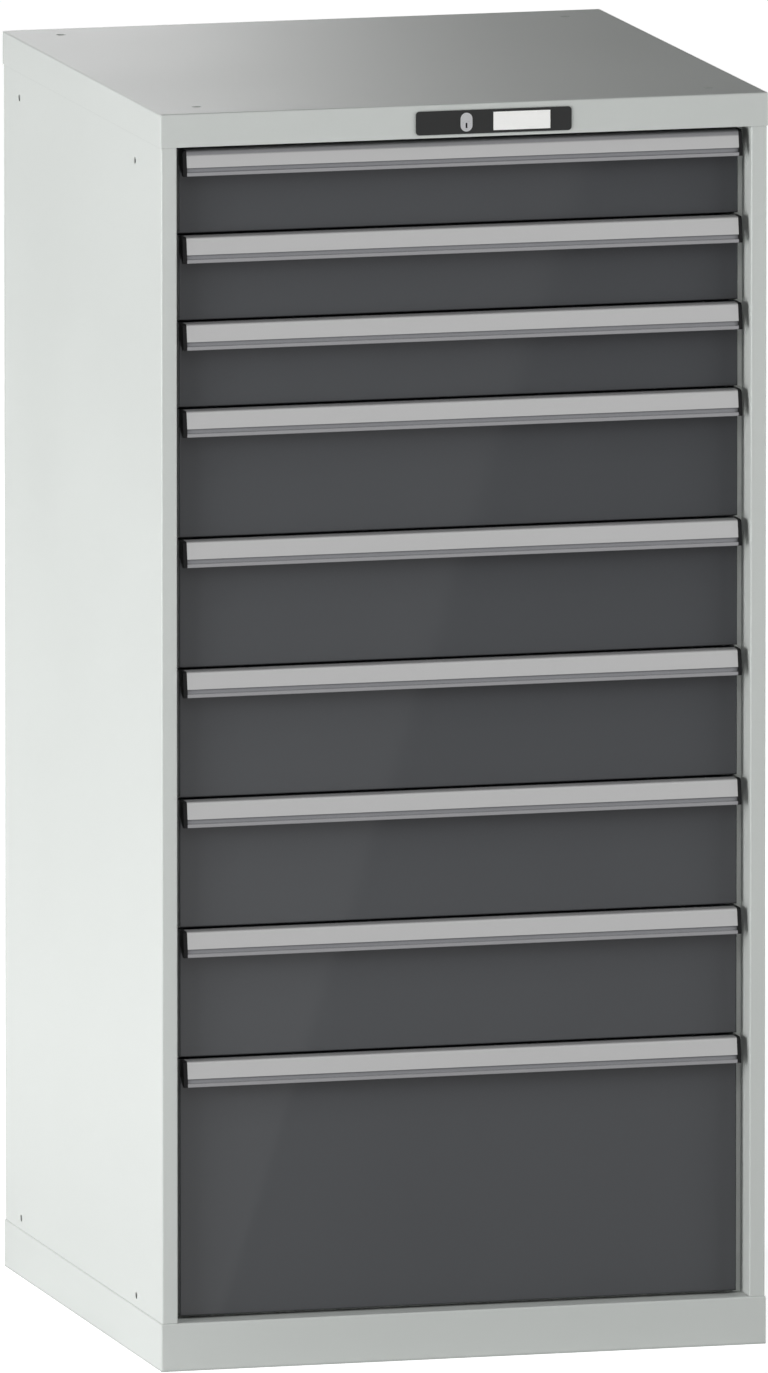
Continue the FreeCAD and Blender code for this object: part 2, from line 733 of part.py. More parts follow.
def make_carriage(node, height):
    """The middle members of a drawer's two runners: a beam each, with two rollers on either face."""
    radius = "Sizes.roller_diameter / 2"
    inner_x = (f"{channel_web} + Sizes.roller_play", f"{beam_x[0]} - Sizes.roller_play")
    outer_x = (f"{beam_x[1]} + Sizes.roller_play", f"{rail_web} - Sizes.roller_play")
    rollers = [
        (inner_x, f"{beam_y[0]} + {radius} + Sizes.roller_margin"),
        (inner_x, f"{tray_back} - {travel} / 2 - {radius} - Sizes.roller_margin"),
        (outer_x, f"{rail_y[0]} + {travel} / 2 + {radius} + Sizes.roller_margin"),
        (outer_x, f"{beam_y[1]} - {radius}"),
    ]
    beam_z = (f"{roller_z} - Sizes.beam_height / 2", f"{roller_z} + Sizes.beam_height / 2")
    welded = [box(f"{node}_plate", beam_x, beam_y, beam_z)]
    wheels = []
    for index, (span, y) in enumerate(rollers, start=1):
        pin_span = (span[0], beam_x[0]) if span is inner_x else (beam_x[1], span[1])
        centre = (y, roller_z)
        welded.append(bar_along("x", f"{node}_pin_{index}", pin_span, centre, "Sizes.roller_pin"))
        wheel = bar_along("x", f"{node}_wheel_{index}", span, centre, "Sizes.roller_diameter")
        bore_size = "Sizes.roller_pin + 2 * Sizes.pin_clearance"
        bore = bar_along("x", f"{node}_bore_{index}", widened(span, overcut), centre, bore_size)
        wheels.append(cut(f"{node}_roller_{index}", wheel, bore))
    right_side = group(f"{node}_right", [fuse(f"{node}_beam", welded)] + wheels)
    left_side = mirrored(f"{node}_left", right_side)
    place(group(f"{node}_pair", [right_side, left_side]), node, height)


def make_lock_plate():
    """A moulded plate on the fascia, with an insert through it, the oval hole and the card's recess."""
    body = new_body("plate")
    face_y = ("-Sizes.plate_proud", "0")
    pad(body, "plate_face", "XZ_Plane", face_y, rectangle(plate_x, plate_z))

    def across_the_plate(start, end):
        return abs(start.y - end.y) > 1

    round_edges(body, "plate_corners", "Sizes.plate_corner", across_the_plate)
    pad(body, "plate_insert", "XZ_Plane", ("0", "Sizes.plate_depth"), plate_insert("0"))
    card = rectangle(card_x, card_z)
    pocket(body, "plate_recess", "XZ_Plane", (face_y[0], f"{face_y[0]} + Sizes.card_recess"), [card])
    through = (f"{face_y[0]} - {overcut}", f"Sizes.plate_depth + {overcut}")
    opening = oval("plate_opening", through, "Sizes.pin_clearance")
    place(cut("plate_finished", body, opening), "lock_plate")


def make_name_card():
    """A blank white card in the plate's recess."""
    body = new_body("card")
    card_back = "(Sizes.card_recess - Sizes.plate_proud)"
    card_y = (f"{card_back} - Sizes.card_thickness", card_back)
    pad(body, "card_sheet", "XZ_Plane", card_y, rectangle(card_x, card_z))
    place(body, "name_card")


def make_lock_cylinder():
    """The fixed oval housing, and the core that turns in it with a tail to the cam."""
    front = "-(Sizes.plate_proud + Sizes.oval_proud)"
    centre = (oval_x, plug_z)
    length = (front, "Sizes.oval_length")
    bore_size = "Sizes.plug_diameter + 2 * Sizes.pin_clearance"
    bore = bar_along("y", "cylinder_bore", widened(length, overcut), centre, bore_size)
    place(cut("cylinder_housing", oval("cylinder_oval", length, "0"), bore), "lock_cylinder")
    plug = bar_along("y", "core_plug", length, centre, "Sizes.plug_diameter")
    tail = bar_along("y", "core_tail", (length[1], "Sizes.cam_setback"), centre, "Sizes.tail_diameter")
    keyway = box(
        "core_keyway",
        widened((oval_x, oval_x), "Sizes.keyway_width / 2"),
        (f"{front} - {overcut}", f"{front} + Sizes.keyway_depth"),
        widened((plug_z, plug_z), "Sizes.keyway_height / 2"),
    )
    place(cut("core_finished", fuse("core_solid", [plug, tail]), keyway), "lock_core")


def make_lock_cam():
    """A disc on the core's tail, with a pin that works the rod."""
    disc_y = ("Sizes.cam_setback", "(Sizes.cam_setback + Sizes.cam_thickness)")
    disc_size = f"2 * ({lock_travel} / sqrt(2) + Sizes.cam_rim)"
    disc = bar_along("y", "cam_disc", disc_y, (oval_x, plug_z), disc_size)
    pin_place = (f"{oval_x} - {lock_travel} / 2", f"{plug_z} + {lock_travel} / 2")
    pin = bar_along("y", "cam_pin", (disc_y[1], f"{rod_y[1]} + {overcut}"), pin_place, "Sizes.lock_pin")
    place(fuse("cam_solid", [disc, pin]), "lock_cam")


def make_lock_rod():
    """A flat rod across the cabinet. Its upright slot follows the cam, its sloping slot moves the bar."""
    body = new_body("rod")
    slot_reach = "((Sizes.lock_pin / 2 + Sizes.lock_play) * sqrt(2))"
    right_end = f"({bar_pin[0]} + {slot_reach} + Sizes.rod_end_wall)"
    ends = (f"-({front_edge} + Sizes.rod_left_reach)", right_end)
    pad(body, "rod_flat", "XZ_Plane", rod_y, rectangle(ends, rod_z))
    cam_pin_x = f"({oval_x} - {lock_travel} / 2)"
    half_slot = "(Sizes.lock_pin / 2 + Sizes.cam_slot_play)"
    cam_slot_z = (f"{plug_z} + {lock_travel} / 2", f"{plug_z} + {lock_travel} / sqrt(2)")
    cam_slot = rectangle(widened((cam_pin_x, cam_pin_x), half_slot), widened(cam_slot_z, half_slot))
    low_x = f"{bar_pin[0]} - {lock_travel}"
    low_z = f"{bar_pin[1]} - {lock_travel}"
    sloping_slot = [
        (f"{bar_pin[0]} + {slot_reach}", bar_pin[1]),
        (bar_pin[0], f"{bar_pin[1]} + {slot_reach}"),
        (f"{low_x} - {slot_reach}", low_z),
        (low_x, f"{low_z} - {slot_reach}"),
    ]
    pocket(body, "rod_slots", "XZ_Plane", rod_y, [cam_slot, sloping_slot])
    place(body, "lock_rod")


def make_locking_bar():
    """A bar in the right front upright, with a pin in the rod's sloping slot and a hook per drawer."""
    strip_y = ("Sizes.bar_setback", "Sizes.bar_setback + Sizes.bar_depth")
    strip_z = (f"{stack_base} + Sizes.bar_foot", f"{cover_edge} - Sizes.bar_top_space")
    strip = box("bar_strip", bar_x, strip_y, strip_z)
    tongue_y = ("Sizes.bar_setback", "(Sizes.bar_setback + Sizes.bar_thickness)")
    tongue_z = (f"{strip_z[1]} - Sizes.tongue_root", f"{bar_pin[1]} + Sizes.tongue_margin")
    tongue = box("bar_tongue", (bar_x[0], f"{bar_x[0]} + Sizes.tongue_width"), tongue_y, tongue_z)
    pin = bar_along("y", "bar_pin", (tongue_y[1], f"{rod_y[1]} + {overcut}"), bar_pin, "Sizes.lock_pin")
    pieces = [fuse("bar_solid", [strip, tongue, pin])]
    for drawer in range(1, drawer_count + 1):
        line = pitch_line(drawer)
        reach = (f"{front_edge} - Sizes.hook_reach", bar_x[0])
        rise = (f"{line} + {hook_z[0]}", f"{line} + {hook_z[1]}")
        pieces.append(box(f"hook_{drawer}", reach, hook_y, rise))
    place(group("bar_pieces", pieces), "locking_bar")


make_top_cover()
make_plinth()
make_side_panel("side_panel_left", -1)
make_side_panel("side_panel_right", 1)
make_plain_panels()
make_uprights()
make_cabinet_rails()
for drawer, pitch in enumerate(drawer_pitches, start=1):
    line = pitch_line(drawer)
    make_drawer_front(f"drawer_{drawer}_front", pitch, line)
    make_handle(f"drawer_{drawer}_handle", pitch, line)
    make_end_caps(f"drawer_{drawer}_end_caps", pitch, line)
    make_tray(f"drawer_{drawer}_tray", pitch, line)
    make_carriage(f"carriage_{drawer}", line)
make_lock_plate()
make_name_card()
make_lock_cylinder()
make_lock_cam()
make_lock_rod()
make_locking_bar()
document.recompute()

for item in document.Objects:
    if "Invalid" in item.State or "Error" in item.State:
        raise ValueError(f"{item.Name} did not build: {item.State}")
for feature in subparts:
    if feature.Shape.isNull() or not feature.Shape.isValid():
        raise ValueError(f"{feature.Label} has no valid shape")

os.makedirs("parts", exist_ok=True)
for feature in subparts:
    feature.Shape.exportStep(f"parts/{feature.Label}.step")
    print(f"{feature.Label}: {len(feature.Shape.Solids)} solids, {feature.Shape.Volume / 1000:.1f} cm3")
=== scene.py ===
# %% [markdown]
# # A nine-drawer steel cabinet, dressed for its picture
#
# The object is a tall drawer cabinet of folded sheet steel: a light grey housing, nine anthracite
# drawer fronts with extruded aluminium handles, and a lock in the fascia. Its pieces arrive here
# as finished meshes in metres, so the lesson is about finishes, small fastenings and light.
# The first cell loads the pieces, and its part_box function measures the box that one piece fills.

# %% Load the cabinet
import json
import math

import bmesh
import bpy
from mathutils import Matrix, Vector

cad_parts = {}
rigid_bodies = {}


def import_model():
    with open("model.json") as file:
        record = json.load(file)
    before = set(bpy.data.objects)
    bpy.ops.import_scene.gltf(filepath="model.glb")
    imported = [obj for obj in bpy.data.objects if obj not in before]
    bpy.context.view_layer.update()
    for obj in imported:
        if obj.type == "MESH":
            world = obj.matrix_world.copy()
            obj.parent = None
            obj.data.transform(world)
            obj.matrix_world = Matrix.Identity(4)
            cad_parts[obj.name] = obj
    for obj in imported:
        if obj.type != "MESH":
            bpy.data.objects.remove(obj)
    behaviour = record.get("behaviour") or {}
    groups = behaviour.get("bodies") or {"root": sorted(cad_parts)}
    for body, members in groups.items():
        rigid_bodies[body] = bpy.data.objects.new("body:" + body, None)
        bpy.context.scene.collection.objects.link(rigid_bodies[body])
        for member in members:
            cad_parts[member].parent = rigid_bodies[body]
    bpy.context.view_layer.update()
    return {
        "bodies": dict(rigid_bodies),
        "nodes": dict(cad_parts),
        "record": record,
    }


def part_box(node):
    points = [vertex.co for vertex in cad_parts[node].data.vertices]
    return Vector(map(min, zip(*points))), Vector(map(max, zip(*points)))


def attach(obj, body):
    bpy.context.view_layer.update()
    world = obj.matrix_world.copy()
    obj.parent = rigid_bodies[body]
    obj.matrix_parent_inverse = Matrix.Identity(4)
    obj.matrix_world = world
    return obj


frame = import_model()
MM = 0.001
pieces = frame["nodes"]
drawers = sorted(name for name in frame["bodies"] if name.startswith("drawer_"))
print("loaded", len(pieces), "pieces and", len(drawers), "drawers")

# %% [markdown]
# The picture was taken from so far away that parallel edges stay parallel. An orthographic camera
# would do the same, but a very long lens keeps the picture's size tied to the distance, which is
# how a camera that is moved to another side still frames the whole cabinet. It stands to the left
# of the front and a little above it, and aims at the middle of the picture.

# %% Camera
CAMERA_AZIMUTH = math.radians(-15)
CAMERA_ELEVATION = math.radians(9)
CAMERA_DISTANCE = 37.84
PICTURE_HEIGHT = 1.5818
PICTURE_CENTRE = Vector((0.0016, 0, 0.7227))

towards_camera = Vector((
    math.sin(CAMERA_AZIMUTH) * math.cos(CAMERA_ELEVATION),
    -math.cos(CAMERA_AZIMUTH) * math.cos(CAMERA_ELEVATION),
    math.sin(CAMERA_ELEVATION),
))
camera = bpy.data.objects.new("camera", bpy.data.cameras.new("camera"))
bpy.context.scene.collection.objects.link(camera)
camera.location = PICTURE_CENTRE + CAMERA_DISTANCE * towards_camera
camera.rotation_euler = (-towards_camera).to_track_quat("-Z", "Y").to_euler()
camera.data.lens = camera.data.sensor_width * CAMERA_DISTANCE / PICTURE_HEIGHT
camera.data.clip_end = 4 * CAMERA_DISTANCE
bpy.context.scene.camera = camera
print("lens", round(camera.data.lens), "mm, from", CAMERA_DISTANCE, "m away")

# %% [markdown]
# Colours are written as hex values, the way a paint chart gives them. Shaders work with linear
# light, so one function turns a hex value into the linear colour that a socket takes. A second
# function adds a node: what it is told is either a value for a socket or another node's output
# to link to it, so a material reads like a list of its layers.

# %% Colours and nodes
def colour(hex_value):
    """The linear colour of an sRGB hex value such as CDD1CE."""
    levels = [int(hex_value[i:i + 2], 16) / 255 for i in (0, 2, 4)]
    linear = [c / 12.92 if c <= 0.04045 else ((c + 0.055) / 1.055) ** 2.4 for c in levels]
    return (*linear, 1)


def node(tree, kind, inputs=None, **settings):
    """Adds a node to a tree: settings are its own, inputs are values or outputs to link."""
    made = tree.nodes.new("ShaderNode" + kind)
    for name, value in settings.items():
        setattr(made, name, value)
    for socket, value in (inputs or {}).items():
        if isinstance(value, bpy.types.NodeSocket):
            tree.links.new(value, made.inputs[socket])
        else:
            made.inputs[socket].default_value = value
    return made


def empty_material(name):
    """A new material and its node tree, which is still empty."""
    made = bpy.data.materials.new(name)
    made.use_nodes = True
    made.node_tree.nodes.clear()
    return made, made.node_tree


print("light grey in linear light:", [round(c, 3) for c in colour("CDD1CE")])

# %% [markdown]
# The cabinet stands on a plain white floor that runs to the horizon, and a white world lies
# behind it. The camera and every shiny surface see it plain white. On matt surfaces the world
# sheds next to no light, as in a studio whose walls are lit apart from the set. The floor is
# lifted towards white for the camera, and less so for the gloss of the paint, and it still takes
# the cabinet's shadow. Its left part is the brighter one. Where that pool of light ends, the
# nine fronts mirror the edge as one slanting line. The edge crosses the middle of the floor at
# POOL_EDGE_X and leans by its slope, and all lengths of this cell are in metres.

# %% Floor and world
FLOOR_HALF_WIDTH = 60.0
FLOOR_GLOW = 0.68
FLOOR_SHEEN = 0.30
# POOL_SHEEN: the floor's left part glows brighter in reflections, a painted pool of light.
POOL_SHEEN = 0.26
POOL_EDGE_X, POOL_EDGE_SLOPE = -0.409, -0.323
POOL_SOFTNESS = 0.008
GLOW_NEAR, GLOW_FAR = 1.8, 3.6
WORLD_LIGHT = 0.04
WHITE = (1, 1, 1, 1)

floor_mesh = bpy.data.meshes.new("studio_floor")
signs = [(-1, -1), (1, -1), (1, 1), (-1, 1)]
corners = [(x * FLOOR_HALF_WIDTH, y * FLOOR_HALF_WIDTH, 0) for x, y in signs]
floor_mesh.from_pydata(corners, [], [(0, 1, 2, 3)])
floor = bpy.data.objects.new("studio_floor", floor_mesh)
bpy.context.scene.collection.objects.link(floor)

floor_paint, tree = empty_material("studio_floor_paint")
rays = node(tree, "LightPath")
spot = node(tree, "TexCoord").outputs["Object"]
where = node(tree, "SeparateXYZ", {0: spot})
across = node(tree, "Math", {0: where.outputs["Y"], 1: -POOL_EDGE_SLOPE, 2: where.outputs["X"]},
              operation="MULTIPLY_ADD")
pool = node(tree, "MapRange", {
    "Value": across.outputs[0],
    "From Min": POOL_EDGE_X - POOL_SOFTNESS,
    "From Max": POOL_EDGE_X + POOL_SOFTNESS,
    "To Min": FLOOR_SHEEN + POOL_SHEEN,
    "To Max": FLOOR_SHEEN,
}, interpolation_type="SMOOTHSTEP")
matt = node(tree, "BsdfDiffuse", {"Color": colour("E6E6E6")})
away = node(tree, "VectorMath", {0: spot}, operation="LENGTH")
rise = node(tree, "MapRange", {
    "Value": away.outputs["Value"],
    "From Min": GLOW_NEAR,
    "From Max": GLOW_FAR,
    "To Min": FLOOR_GLOW,
    "To Max": 1.0,
}, interpolation_type="SMOOTHSTEP")
glow = node(tree, "Emission", {"Color": WHITE, "Strength": rise.outputs[0]})
sheen = node(tree, "Emission", {"Color": WHITE, "Strength": pool.outputs[0]})
lifted = node(tree, "AddShader", {0: matt.outputs[0], 1: glow.outputs[0]})
mirrored = node(tree, "AddShader", {0: matt.outputs[0], 1: sheen.outputs[0]})
seen = node(tree, "MixShader", {
    0: rays.outputs["Is Camera Ray"], 1: matt.outputs[0], 2: lifted.outputs[0]})
seen_or_mirrored = node(tree, "MixShader", {
    0: rays.outputs["Is Glossy Ray"], 1: seen.outputs[0], 2: mirrored.outputs[0]})
node(tree, "OutputMaterial", {"Surface": seen_or_mirrored.outputs[0]})
floor.data.materials.append(floor_paint)

world = bpy.data.worlds.new("white_studio")
world.use_nodes = True
tree = world.node_tree
tree.nodes.clear()
rays = node(tree, "LightPath")
mirrored = node(tree, "Math", {
    0: rays.outputs["Is Glossy Ray"], 1: rays.outputs["Is Transmission Ray"]}, operation="MAXIMUM")
looked_at = node(tree, "Math", {
    0: rays.outputs["Is Camera Ray"], 1: mirrored.outputs[0]}, operation="MAXIMUM")
soft = node(tree, "Background", {"Color": WHITE, "Strength": WORLD_LIGHT})
white = node(tree, "Background", {"Color": WHITE, "Strength": 1.0})
sky = node(tree, "MixShader", {0: looked_at.outputs[0], 1: soft.outputs[0], 2: white.outputs[0]})
node(tree, "OutputWorld", {"Surface": sky.outputs[0]})
bpy.context.scene.world = world
bpy.context.scene.view_settings.view_transform = "Standard"
print("floor", 2 * FLOOR_HALF_WIDTH, "m wide")

# %% [markdown]
# The left side of the cabinet is bright and its front is a tone darker, so the key is a large
# panel far to the left and a little forward of the front, low enough to leave the top dark. It
# also reaches the inner face of the right stile. Two panels help it on the left: one behind the
# rear corner keeps the side from falling off towards the back, and a flat one near the floor
# lifts the foot. A weaker panel on the right evens out the front, a low one by the camera
# reaches into the gaps, and a high one gives the soft shade under each handle. Behind the left
# corner stands a tall white panel: the top mirrors it at a flat angle, and a black board on each
# side ends the reflection, which is why the top darkens from left to right. The last lamp only
# whitens the floor behind the cabinet, where its shadow would be deepest.

# %% Lamps
LAMPS = {  # place, aim, size in metres, watts
    "key_panel": ((-4.37, -2.20, 1.15), (0, -0.1, 0.7), (2.6, 2.1), 154),
    "fill_panel": ((4.25, -2.45, 1.65), (0, -0.1, 0.75), (2.2, 2.2), 98),
    "front_panel": ((-1.00, -3.90, 3.9), (0, -0.1, 0.75), (2.2, 1.9), 33),
    "eye_panel": ((-0.90, -4.20, 0.9), (0, -0.1, 0.6), (1.4, 1.0), 6.5),
    "rear_panel": ((0.62, 6.0, 3.2), (0.2, 0, 1.45), (1.65, 4.0), 44),
    "skirt_panel": ((-2.40, 0.20, 0.4), (0, 0.1, 0.4), (3.0, 0.7), 5),
    "side_panel": ((-3.60, 2.40, 1.7), (-0.2, 0.2, 1.2), (1.6, 1.2), 34),
    "floor_lamp": ((-1.50, 1.70, 1.3), (-1.3, 1.6, 0), (1.0, 1.0), 18),
}
BLACK_BOARDS = {"right_board": (1.55, 9.0), "left_board": (-6.0, -1.3)}  # from X to X
BOARD_Y = 6.0
BOARD_HEIGHT = 6.0


def lamp(name, place, aim, size, watts):
    """Adds a panel lamp: shiny surfaces mirror it, and the camera doesn't see it."""
    light = bpy.data.lights.new(name, "AREA")
    light.shape = "RECTANGLE"
    light.size, light.size_y = size
    light.energy = watts
    made = bpy.data.objects.new(name, light)
    bpy.context.scene.collection.objects.link(made)
    made.location = place
    made.rotation_euler = (Vector(aim) - Vector(place)).to_track_quat("-Z", "Y").to_euler()
    made.visible_camera = False


for name, setting in LAMPS.items():
    lamp(name, *setting)

board_felt, tree = empty_material("black_board_felt")
felt = node(tree, "BsdfDiffuse", {"Color": colour("2A2A2A")})
node(tree, "OutputMaterial", {"Surface": felt.outputs[0]})
for name, (left, right) in BLACK_BOARDS.items():
    board_mesh = bpy.data.meshes.new(name)
    corners = [(left, BOARD_Y, 0), (right, BOARD_Y, 0),
               (right, BOARD_Y, BOARD_HEIGHT), (left, BOARD_Y, BOARD_HEIGHT)]
    board_mesh.from_pydata(corners, [], [(0, 1, 2, 3)])
    board_mesh.materials.append(board_felt)
    board = bpy.data.objects.new(name, board_mesh)
    bpy.context.scene.collection.objects.link(board)
    board.visible_camera = False
print("lamps:", ", ".join(LAMPS))

# %% [markdown]
# The housing is powder coated: charged plastic powder is sprayed on the steel and melted to a
# skin. It is a dielectric of IOR 1.5 with a satin gloss, and where the powder flowed together it
# keeps a faint orange peel. Three paints share one function. The real peel is 1 to 3 mm wide,
# which is hardly more than a pixel, so it is drawn at 5 mm and kept very shallow.
#
# Corners and seams get a darker tone mixed in, a painted shade where the real cabinet lies in
# shade. How open a spot is comes from the ambient occlusion node, whose half dome may lean: on the
# fronts it leans up and to the left, so the painted shade gathers under the handles and beside the
# left stile, where their shadows fall. The fronts are drawn as a matt anthracite under a clear,
# thin and glossy skin, because they mirror the floor sharply. The uprights only show in the gaps
# beside the fronts. Their paint is the housing's, but it is drawn paler here as painted light,
# because these lamps send less light into the gaps than the real ones did.

# %% Powder coat
PEEL_WIDTH = 5 * MM
PEEL_STRENGTH = 0.5
CLOUD_WIDTH = 240 * MM
CLOUD_GLOSS = 0.03
# Painted shade: a darker tone mixed into the housing's seams and inner corners.
PAINTED_SHADE_IN_SEAMS = {"reach": 4 * MM, "lean": (0, 0, 0), "shares": (0.35, 0.85)}
# Painted shade under the handles and beside the left stile, where their shadows fall.
PAINTED_SHADE_UNDER_HANDLES = {"reach": 80 * MM, "lean": (-0.3, 0, 0.8), "shares": (0.2, 0.86)}
CLEAR_SKIN = {"Specular IOR Level": 0.15, "Coat Weight": 0.8, "Coat Roughness": 0.03,
              "Coat IOR": 1.5}


def shaded(tree, tone, painted_shade_tone, reach, lean, shares, rays=6):
    """Mixes a painted shade tone into the nooks, from the share where it is full to the share
    where it ends.

    Reach is how far a nook looks for its walls, and lean is where its light comes from.
    """
    facing = node(tree, "NewGeometry").outputs["Normal"]
    leaning = node(tree, "VectorMath", {0: facing, 1: lean}, operation="ADD")
    outward = node(tree, "VectorMath", {0: leaning.outputs[0]}, operation="NORMALIZE")
    nook = node(tree, "AmbientOcclusion", {
        "Distance": reach, "Normal": outward.outputs[0]}, samples=rays)
    openness = node(tree, "MapRange", {
        "Value": nook.outputs["AO"], "From Min": shares[0], "From Max": shares[1]})
    mixed = node(tree, "Mix", {
        "Factor": openness.outputs["Result"], "A": colour(painted_shade_tone), "B": tone}, data_type="RGBA")
    return mixed.outputs["Result"]


def powder_coat(name, lighter, darker, painted_shade_tone, nooks, roughness, peel_depth, skin=None):
    """Satin powder coat whose tone wanders slowly between two close colours, with a painted shade
    in its nooks.
    """
    made, tree = empty_material(name)
    place = node(tree, "TexCoord").outputs["Object"]
    cloud = node(tree, "TexNoise", {"Vector": place, "Scale": 1 / CLOUD_WIDTH, "Detail": 2.0})
    tone = node(tree, "Mix", {
        "Factor": cloud.outputs["Fac"], "A": colour(darker), "B": colour(lighter),
    }, data_type="RGBA")
    peel = node(tree, "TexNoise", {"Vector": place, "Scale": 1 / PEEL_WIDTH, "Detail": 1.0})
    gloss = node(tree, "MapRange", {
        "Value": cloud.outputs["Fac"],
        "To Min": roughness - CLOUD_GLOSS,
        "To Max": roughness + CLOUD_GLOSS,
    })
    relief = node(tree, "Bump", {
        "Height": peel.outputs["Fac"], "Distance": peel_depth, "Strength": PEEL_STRENGTH})
    surface = node(tree, "BsdfPrincipled", {
        "Base Color": shaded(tree, tone.outputs["Result"], painted_shade_tone, **nooks),
        "Roughness": gloss.outputs["Result"],
        "IOR": 1.5,
        "Normal": relief.outputs["Normal"],
        **(skin or {}),
    })
    node(tree, "OutputMaterial", {"Surface": surface.outputs[0]})
    return made


# The third colour of each paint is the tone of its painted shade in the nooks.
housing_paint = powder_coat("light_grey_powder_coat", "CDD1CE", "C9CDCA", "8A8E8B", PAINTED_SHADE_IN_SEAMS,
                            roughness=0.42, peel_depth=0.02 * MM)
# The uprights: the housing's paint drawn paler, a painted light for the dim gaps beside the
# fronts.
uprights_coat_painted_lighter = powder_coat("housing_coat_painted_paler_for_gap_light", "E4E7E4", "E0E3E0", "D0D4D1", PAINTED_SHADE_IN_SEAMS,
                            roughness=0.42, peel_depth=0.02 * MM)
front_paint = powder_coat("anthracite_powder_coat", "45474A", "414346", "2E2F32", PAINTED_SHADE_UNDER_HANDLES,
                          roughness=0.45, peel_depth=0.015 * MM, skin=CLEAR_SKIN)
print("paints:", housing_paint.name, uprights_coat_painted_lighter.name, front_paint.name)

# %% [markdown]
# The handles are aluminium profiles, pushed hot through a die and then anodised. The die leaves
# fine straight lines along the profile, and the anodised skin blurs what it mirrors. A metal has
# no colour under its mirror, so the base colour is the tint of the reflection itself. The lines
# are noise that is stretched along the handle; they are drawn 1.2 mm apart, a few times their
# real spacing.
#
# The face of a handle is smooth. The back of its groove and its lip lie in shade, so they get
# darker tones of their own, a painted shade. Each is also drawn darker where another piece hangs
# close above it, a painted shade as well. The uppermost handle sits just under the fascia, whose
# shadow covers the upper third of its face. The lamps stand too low to cast that shadow, so it is
# mixed in as a painted shadow like the others, with more rays that look for the fascia, to end it
# in a crisp line.

# %% Anodised aluminium
LINE_SPACING = 1.2 * MM
LINE_LENGTH = 400 * MM
LINE_DEPTH = 0.02 * MM
LINE_STRENGTH = 0.4
SATIN_ROUGHNESS = (0.58, 0.68)
# Painted shade where another piece hangs close above a handle face.
PAINTED_SHADE_UNDER_A_ROOF = {"reach": 13 * MM, "lean": (0, -0.2, 1.5)}


def anodised_extrusion(name, lighter, darker, painted_shade_tone="5C5C5E", shares=(0.12, 0.46), rays=6):
    """Satin aluminium with die lines along X, with a painted shade where something hangs close
    above it.
    """
    made, tree = empty_material(name)
    place = node(tree, "TexCoord").outputs["Object"]
    along = node(tree, "Mapping", {
        "Vector": place, "Scale": (1 / LINE_LENGTH, 1 / LINE_SPACING, 1 / LINE_SPACING)})
    lines = node(tree, "TexNoise", {"Vector": along.outputs[0], "Scale": 1.0, "Detail": 2.0})
    gloss = node(tree, "MapRange", {
        "Value": lines.outputs["Fac"], "To Min": SATIN_ROUGHNESS[0], "To Max": SATIN_ROUGHNESS[1]})
    tone = node(tree, "Mix", {
        "Factor": lines.outputs["Fac"], "A": colour(darker), "B": colour(lighter),
    }, data_type="RGBA")
    relief = node(tree, "Bump", {
        "Height": lines.outputs["Fac"], "Distance": LINE_DEPTH, "Strength": LINE_STRENGTH})
    surface = node(tree, "BsdfPrincipled", {
        "Base Color": shaded(tree, tone.outputs["Result"], painted_shade_tone, shares=shares, rays=rays,
                             **PAINTED_SHADE_UNDER_A_ROOF),
        "Metallic": 1.0,
        "Roughness": gloss.outputs["Result"],
        "Normal": relief.outputs["Normal"],
    })
    node(tree, "OutputMaterial", {"Surface": surface.outputs[0]})
    return made


# The handles' own tint, with a painted shade under the piece above each one.
handle_aluminium = anodised_extrusion("natural_anodised_aluminium", "A8A8A8", "A2A2A2")
# The uppermost handle: a copy with a painted shadow of the fascia over the upper third of its
# face.
fascia_shadow_painted_aluminium = anodised_extrusion("anodised_aluminium_painted_fascia_shadow", "A8A8A8", "A2A2A2",
                                      painted_shade_tone="78787A", shares=(0.62, 0.74), rays=32)
# The back of the groove and the lip: darker tones that are painted shade.
groove_shade_painted_aluminium = anodised_extrusion("anodised_aluminium_painted_groove_shade", "8A8B8E", "848588")
lip_shade_painted_aluminium = anodised_extrusion("anodised_aluminium_painted_lip_shade", "8E8E90", "8A8A8C")
print("aluminium:", handle_aluminium.name, groove_shade_painted_aluminium.name, lip_shade_painted_aluminium.name)

# %% [markdown]
# The end caps and the lock's plate are moulded ABS. Its tool was spark eroded, which leaves a
# fine even grain that scatters the gloss, so black plastic looks dark grey in soft light. The
# cover's plugs and the runners' rollers are moulded too, of softer plastics, and the same
# function serves for the white card and for the keyway's walls, which are black as a painted
# shade of the deep slot. The real grain is about 0.1 mm wide; it is drawn at 1 mm, which is
# nearly a pixel.

# %% Moulded plastic
GRAIN_WIDTH = 1.0 * MM
GRAIN_DEPTH = 0.02 * MM
GRAIN_STRENGTH = 0.4
GRAIN_GLOSS = 0.05


def moulded_plastic(name, tint, roughness, gloss_share=0.5):
    """A moulding with the fine grain of a spark eroded tool."""
    made, tree = empty_material(name)
    place = node(tree, "TexCoord").outputs["Object"]
    grain = node(tree, "TexNoise", {"Vector": place, "Scale": 1 / GRAIN_WIDTH, "Detail": 2.0})
    gloss = node(tree, "MapRange", {
        "Value": grain.outputs["Fac"],
        "To Min": roughness - GRAIN_GLOSS,
        "To Max": roughness + GRAIN_GLOSS,
    })
    relief = node(tree, "Bump", {
        "Height": grain.outputs["Fac"], "Distance": GRAIN_DEPTH, "Strength": GRAIN_STRENGTH})
    surface = node(tree, "BsdfPrincipled", {
        "Base Color": colour(tint),
        "Roughness": gloss.outputs["Result"],
        "IOR": 1.54,
        "Specular IOR Level": gloss_share,
        "Normal": relief.outputs["Normal"],
    })
    node(tree, "OutputMaterial", {"Surface": surface.outputs[0]})
    return made


